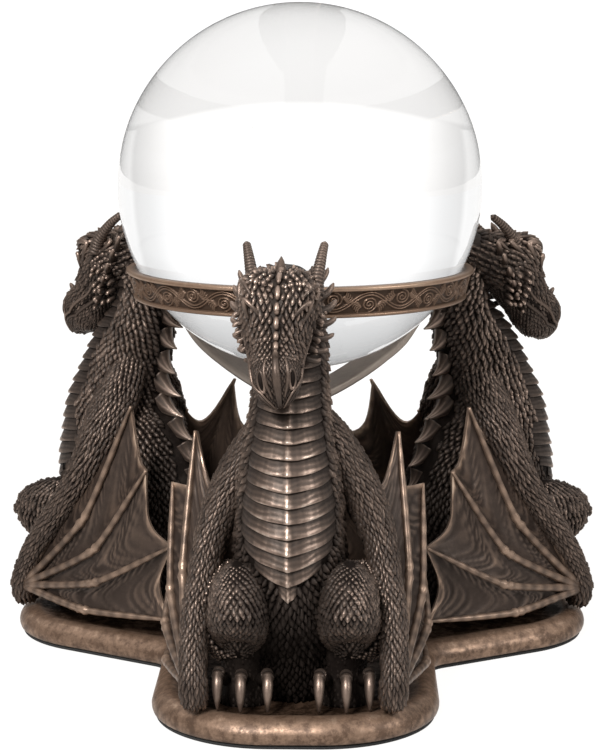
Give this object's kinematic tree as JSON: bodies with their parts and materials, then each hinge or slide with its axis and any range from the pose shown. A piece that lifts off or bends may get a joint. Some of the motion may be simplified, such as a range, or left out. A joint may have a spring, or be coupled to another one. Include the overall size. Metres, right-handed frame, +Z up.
{
  "type": "crystal ball on stand",
  "caption": "Clear glass ball resting in a relief ring held up by seated dragons on a lobed base, in antiqued bronze-look resin.",
  "frame": {"origin": "centre of the underside, on the three-fold axis, at the level the stand rests on", "axes": "+Z up through the middle of the ball; -Y out along the front lobe and its dragon; +X to the viewer's right"},
  "size_m": [0.189, 0.1704, 0.1995],
  "materials": {
    "antique_bronze": "cold-cast bronze resin, dark antiqued recesses, raised detail rubbed to warm brown and copper",
    "worn_bronze": "cold-cast bronze resin, speckled, rubbed lighter brown on the rim",
    "clear_glass": "clear, polished",
    "felt": "dark felt"
  },
  "bodies": {
    "stand": {"felt_sheet": "felt", "base_plate": "worn_bronze", "ring": "antique_bronze", "cradle": "antique_bronze", "front_body": "antique_bronze", "front_head": "antique_bronze", "front_leg_left": "antique_bronze", "front_foot_left": "antique_bronze", "front_arm_left": "antique_bronze", "front_wing_left": "antique_bronze", "front_leg_right": "antique_bronze", "front_foot_right": "antique_bronze", "front_arm_right": "antique_bronze", "front_wing_right": "antique_bronze", "left_body": "antique_bronze", "left_head": "antique_bronze", "left_leg_left": "antique_bronze", "left_foot_left": "antique_bronze", "left_arm_left": "antique_bronze", "left_wing_left": "antique_bronze", "left_leg_right": "antique_bronze", "left_foot_right": "antique_bronze", "left_arm_right": "antique_bronze", "left_wing_right": "antique_bronze", "right_body": "antique_bronze", "right_head": "antique_bronze", "right_leg_left": "antique_bronze", "right_foot_left": "antique_bronze", "right_arm_left": "antique_bronze", "right_wing_left": "antique_bronze", "right_leg_right": "antique_bronze", "right_foot_right": "antique_bronze", "right_arm_right": "antique_bronze", "right_wing_right": "antique_bronze"},
    "ball": {"crystal_ball": "clear_glass"}
  },
  "joints": [
    {"name": "ball_lift", "type": "slide", "parent": "stand", "child": "ball", "axis": [0, 0, 1], "range_m": [0, 0.06]}
  ]
}
